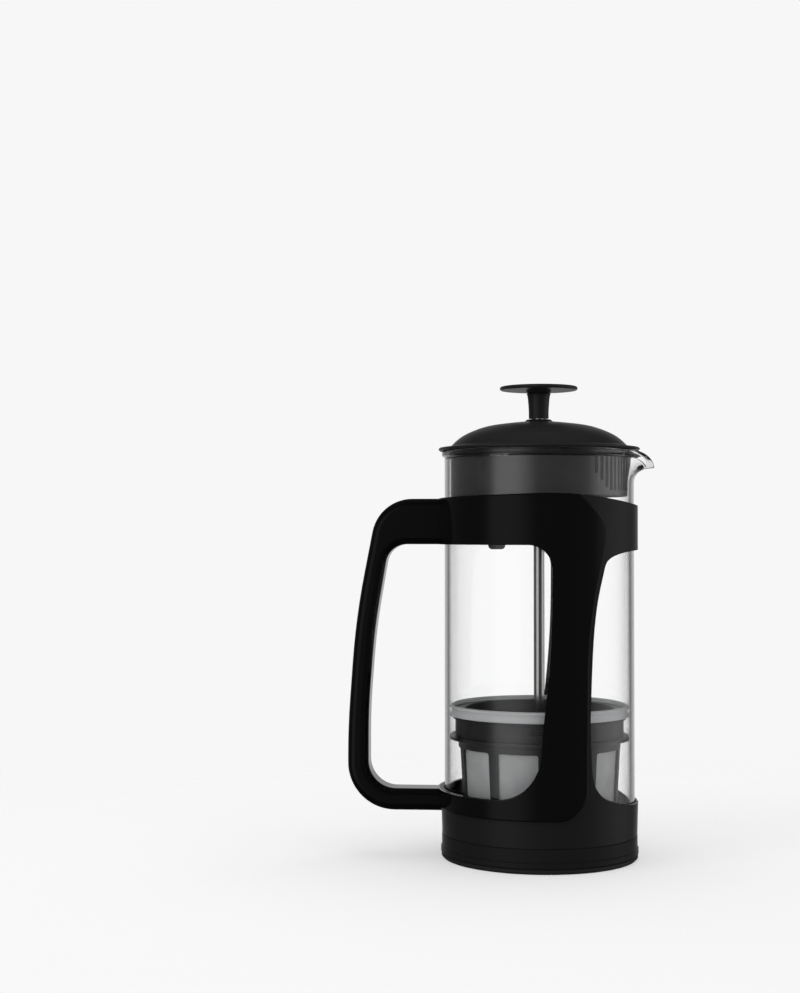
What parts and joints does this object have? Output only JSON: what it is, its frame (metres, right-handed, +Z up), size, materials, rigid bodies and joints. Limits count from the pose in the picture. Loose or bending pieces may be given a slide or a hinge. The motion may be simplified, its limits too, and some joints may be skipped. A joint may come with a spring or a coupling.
{
  "type": "french press",
  "caption": "Glass french press in a black plastic frame with a loop handle, domed lid, steel rod and nested micro-filter baskets with a silicone seal.",
  "frame": {"origin": "on the beaker's axis, in the plane where the foot ring stands", "axes": "+Z up along the beaker's axis, +X towards the spout, handle towards -X"},
  "size_m": [0.157, 0.1038, 0.2408],
  "materials": {
    "frame": "glossy moulded black",
    "foot": "matte black",
    "seal": "translucent silicone",
    "glass": "clear polished",
    "lid": "fine satin black",
    "skirt": "satin dark grey",
    "steel": "polished stainless",
    "brass": "turned brass",
    "basket": "satin black",
    "mesh": "fine woven micro mesh"
  },
  "bodies": {
    "stand": {"frame": "frame", "beaker_seat": "seal"},
    "base": {"base_cap": "frame", "foot_ring": "foot"},
    "glass": {"beaker": "glass"},
    "bush": {"rod_bush": "lid"},
    "lid": {"lid_dome": "lid", "lid_skirt": "skirt"},
    "plunger": {"rod": "steel", "knob_insert": "brass", "knob_stem": "lid", "knob_disc": "lid", "inner_basket": "basket", "hub_insert": "brass", "filter_seal": "seal", "inner_side_mesh": "mesh", "inner_floor_mesh": "mesh"},
    "outer_filter": {"outer_basket": "basket", "outer_side_mesh": "mesh", "outer_floor_mesh": "mesh"}
  },
  "joints": [
    {"name": "base_twist", "type": "hinge", "parent": "stand", "child": "base", "pos_m": [0, 0, 0], "axis": [0, 0, 1], "range_deg": [0, 25]},
    {"name": "beaker_lift", "type": "slide", "parent": "stand", "child": "glass", "axis": [0, 0, 1], "range_m": [0, 0.2]},
    {"name": "lid_lift", "type": "slide", "parent": "glass", "child": "bush", "axis": [0, 0, 1], "range_m": [0, 0.2]},
    {"name": "lid_turn", "type": "hinge", "parent": "bush", "child": "lid", "pos_m": [0, 0, 0.2], "axis": [0, 0, 1], "continuous": true},
    {"name": "plunge", "type": "slide", "parent": "bush", "child": "plunger", "axis": [0, 0, 1], "range_m": [0, 0.102]},
    {"name": "filter_twist", "type": "hinge", "parent": "plunger", "child": "outer_filter", "pos_m": [0, 0, 0.05], "axis": [0, 0, 1], "range_deg": [-15, 0]}
  ]
}
